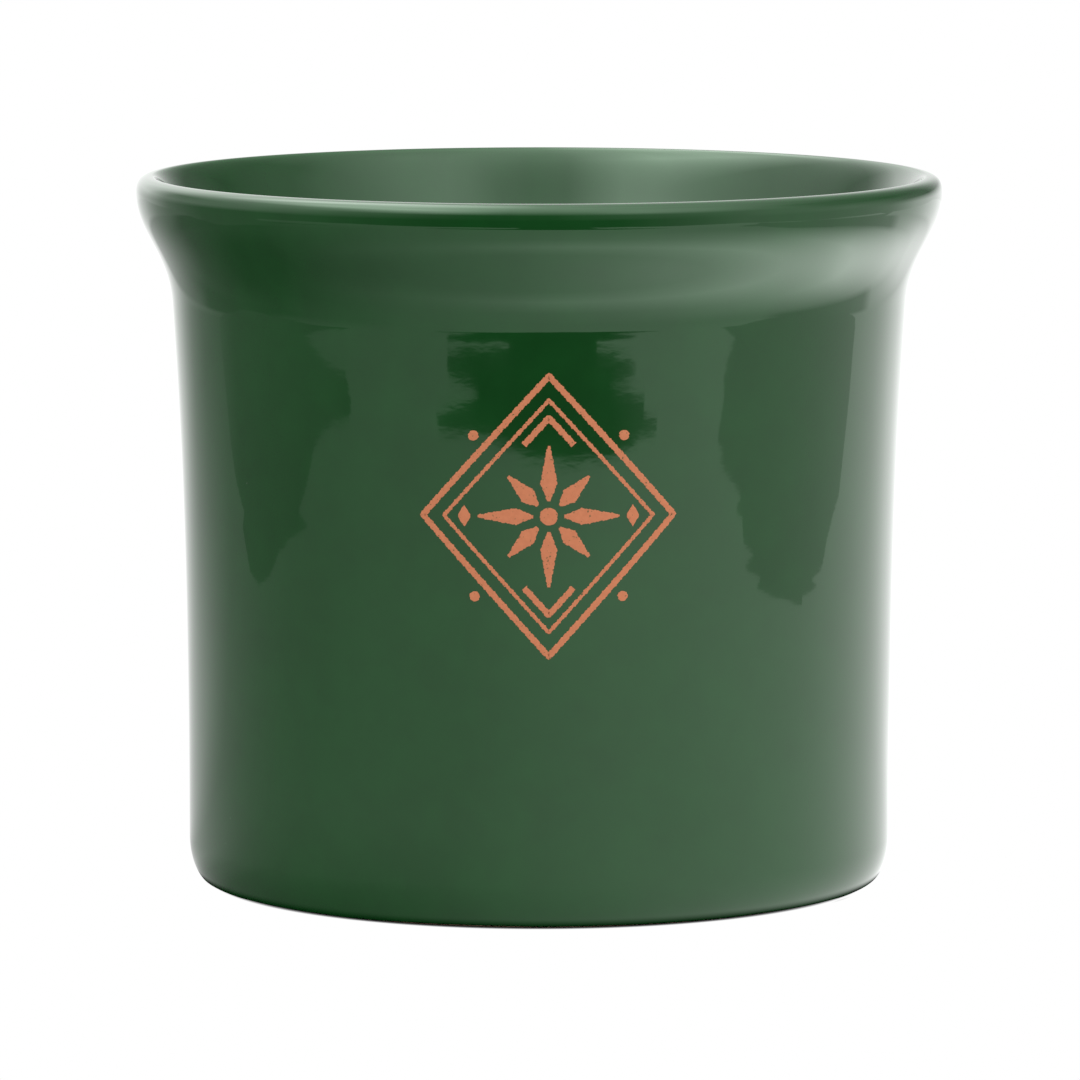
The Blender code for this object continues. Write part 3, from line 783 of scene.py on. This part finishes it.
def blend_rows(tree, angle, low, level, rows):
    """The level at an angle, from rows that are each at their own angle in degrees, mixed evenly between."""
    for high, row in rows:
        span = {"Value": angle, "From Min": math.radians(low), "From Max": math.radians(high)}
        part = add(tree, "MapRange", span).outputs[0]
        mixed = add(tree, "Mix", {"Factor": part, "A": level, "B": row}, data_type="RGBA")
        level, low = mixed.outputs[MIXED_COLOUR], high
    return level


def by_ray(tree, seen, reflected, soft):
    """Gives the camera one light, gloss another and all else a third."""
    path = add(tree, "LightPath").outputs
    lit = add(tree, "MixShader", {0: path["Is Glossy Ray"], 1: soft.outputs[0], 2: reflected.outputs[0]})
    return add(tree, "MixShader", {0: path["Is Camera Ray"], 1: lit.outputs[0], 2: seen.outputs[0]})


def studio_world():
    """Soft light all round. What the glaze reflects is dark behind the camera, with softboxes above."""
    world = bpy.data.worlds.new("Soft studio")
    tree = empty_tree(world)
    world.cycles.sampling_method = "NONE"
    direction = add(tree, "TexCoord").outputs["Generated"]
    share, x, _, up = studio_bearing(tree, direction)
    elevation = add(tree, "Math", {0: up}, operation="ARCSINE").outputs[0]
    rows = [(degrees, light_round(tree, share, levels)) for degrees, levels in SKY.items()]
    rows.append((OVERHEAD, (*[ZENITH / PEAK] * 3, 1)))
    level = blend_rows(tree, elevation, *rows[0], rows[1:])
    reflected = add(tree, "Background", {"Color": level, "Strength": PEAK * GLOSS_GAIN})
    above = add(tree, "MapRange", {"Value": up, "To Min": PLAIN_SIDE, "To Max": PLAIN_TOP})
    left_to_right = {"Value": x, "From Min": -1.0, "To Min": PLAIN_LEFT, "To Max": PLAIN_RIGHT}
    sideways = add(tree, "MapRange", left_to_right)
    plain = add(tree, "Math", {0: above.outputs[0], 1: sideways.outputs[0]}, operation="MULTIPLY")
    soft = add(tree, "Background", {"Color": WHITE, "Strength": plain.outputs[0]})
    seen = add(tree, "Background", {"Color": WHITE, "Strength": 1.0})
    add(tree, "OutputWorld", {"Surface": by_ray(tree, seen, reflected, soft).outputs[0]})
    bpy.context.scene.world = world


def table_finish():
    """White table: seen white with the pot's own contact shadow, and lit from the right.

    What the glaze reflects of it goes by bearing and by how steeply it is seen, and is shaded by the foot.
    """
    made = bpy.data.materials.new("White table")
    tree = empty_tree(made)
    made.cycles.emission_sampling = "NONE"
    place = add(tree, "TexCoord").outputs["Object"]
    share, x, y, _ = studio_bearing(tree, place)
    flat = add(tree, "CombineXYZ", {"X": x, "Y": y}).outputs[0]
    distance = add(tree, "VectorMath", {0: flat}, operation="LENGTH").outputs["Value"]

    near_level, far_level = [light_round(tree, share, levels) for levels in (TABLE_NEAR, TABLE_FAR)]
    outwards = {"Value": distance, "From Min": TABLE_NEAR_END, "From Max": TABLE_FAR_START}
    out = add(tree, "MapRange", outwards).outputs[0]
    low_light = add(tree, "Mix", {"Factor": out, "A": near_level, "B": far_level}, data_type="RGBA")
    facing = add(tree, "LayerWeight").outputs["Facing"]
    upright = add(tree, "Math", {0: 1.0, 1: facing}, operation="SUBTRACT").outputs[0]
    steepness = add(tree, "Math", {0: upright}, operation="ARCSINE").outputs[0]
    clear = {"Value": distance, "From Min": STEEP_START, "From Max": STEEP_END}
    beyond_heel = add(tree, "MapRange", clear).outputs[0]
    seen_steeply = add(tree, "Math", {0: steepness, 1: beyond_heel}, operation="MULTIPLY").outputs[0]
    rows = [(degrees, light_round(tree, share, levels)) for degrees, levels in TABLE_STEEP.items()]
    level = blend_rows(tree, seen_steeply, TABLE_LOW, low_light.outputs[MIXED_COLOUR], rows)

    shade = light_round(tree, share, FOOT_SHADE, FOOT_SHADE_PEAK)
    shaded_part = {"Value": distance, "From Min": FOOT_SHADE_START, "From Max": FOOT_SHADE_END}
    away = add(tree, "MapRange", shaded_part).outputs[0]
    eased = add(tree, "Math", {0: away, 1: FOOT_SHADE_EASE}, operation="POWER").outputs[0]
    let_go = {"Value": eased, "To Min": shade, "To Max": 1 / FOOT_SHADE_PEAK}
    beside = add(tree, "MapRange", let_go).outputs[0]
    under_heel = {"Value": distance, "From Min": DARK_RADIUS, "From Max": OPEN_RADIUS}
    open_light = add(tree, "MapRange", under_heel, interpolation_type="SMOOTHSTEP").outputs[0]
    shaded = add(tree, "Math", {0: beside, 1: open_light}, operation="MULTIPLY").outputs[0]
    gain = FOOT_SHADE_PEAK * PEAK * GLOSS_GAIN
    strength = add(tree, "Math", {0: shaded, 1: gain}, operation="MULTIPLY").outputs[0]
    reflected = add(tree, "Emission", {"Color": level, "Strength": strength})

    plain = add(tree, "Math", {0: open_light, 1: PLAIN_TABLE}, operation="MULTIPLY").outputs[0]
    soft = add(tree, "Emission", {"Color": WHITE, "Strength": plain})
    contact = add(tree, "AmbientOcclusion", {"Distance": CONTACT_REACH}, samples=CONTACT_SAMPLES)
    seen = add(tree, "Emission", {"Color": WHITE, "Strength": contact.outputs["AO"]})
    add(tree, "OutputMaterial", {"Surface": by_ray(tree, seen, reflected, soft).outputs[0]})
    return made


def table():
    """A white table whose edges the glaze reflects. It widens behind the pot, and another is right of it."""
    main_top = np.array(TABLE_LEFT + TABLE_NOTCH + TABLE_RIGHT + TABLE_BACK)
    cosine, sine = math.cos(VIEW_TURN), math.sin(VIEW_TURN)
    corners = np.concatenate([main_top, SIDE_TABLE]) @ np.array([(cosine, sine), (-sine, cosine)])
    points = np.column_stack([corners, np.zeros(len(corners))])
    order = list(range(len(corners)))
    mesh = bpy.data.meshes.new("table")
    mesh.from_pydata(points.tolist(), [], [order[: len(main_top)], order[len(main_top) :]])
    mesh.materials.append(table_finish())
    piece = bpy.data.objects.new("table", mesh)
    bpy.context.scene.collection.objects.link(piece)


def camera():
    """265 mm lens from 1.77 m, 6.8 degrees up, with the pot's axis a little left of the middle."""
    elevation, distance, aim_z, right = 0.1189, 1.766, 0.07507, 0.00016
    data = bpy.data.cameras.new("camera")
    data.sensor_width, data.lens = 36, 265.2
    data.clip_start, data.clip_end = 0.05, 50
    eye = bpy.data.objects.new("camera", data)
    bpy.context.scene.collection.objects.link(eye)
    cosine, sine = math.cos(VIEW_TURN), math.sin(VIEW_TURN)
    out = distance * math.cos(elevation)
    eye_z = aim_z + distance * math.sin(elevation)
    eye.location = (right * cosine + out * sine, right * sine - out * cosine, eye_z)
    eye.rotation_euler = (math.pi / 2 - elevation, 0, VIEW_TURN)
    bpy.context.scene.camera = eye


def main():
    bpy.context.scene.view_settings.view_transform = "Standard"
    camera()
    studio_world()
    table()
    green, buff, copper = glossy_green_glaze(), bare_stoneware(), copper_enamel()
    for piece, node, slot in (
        (stoneware(buff), "stoneware_body", "stoneware"),
        (outer_glaze(green), "outer_glaze", "green_glaze"),
        (liner_glaze(green), "liner_glaze", "green_glaze"),
        (base_glaze(green), "base_glaze", "green_glaze"),
    ):
        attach(piece, "root")
        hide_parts(node)
    for piece in enamel_print(copper):
        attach(piece, "root")


main()
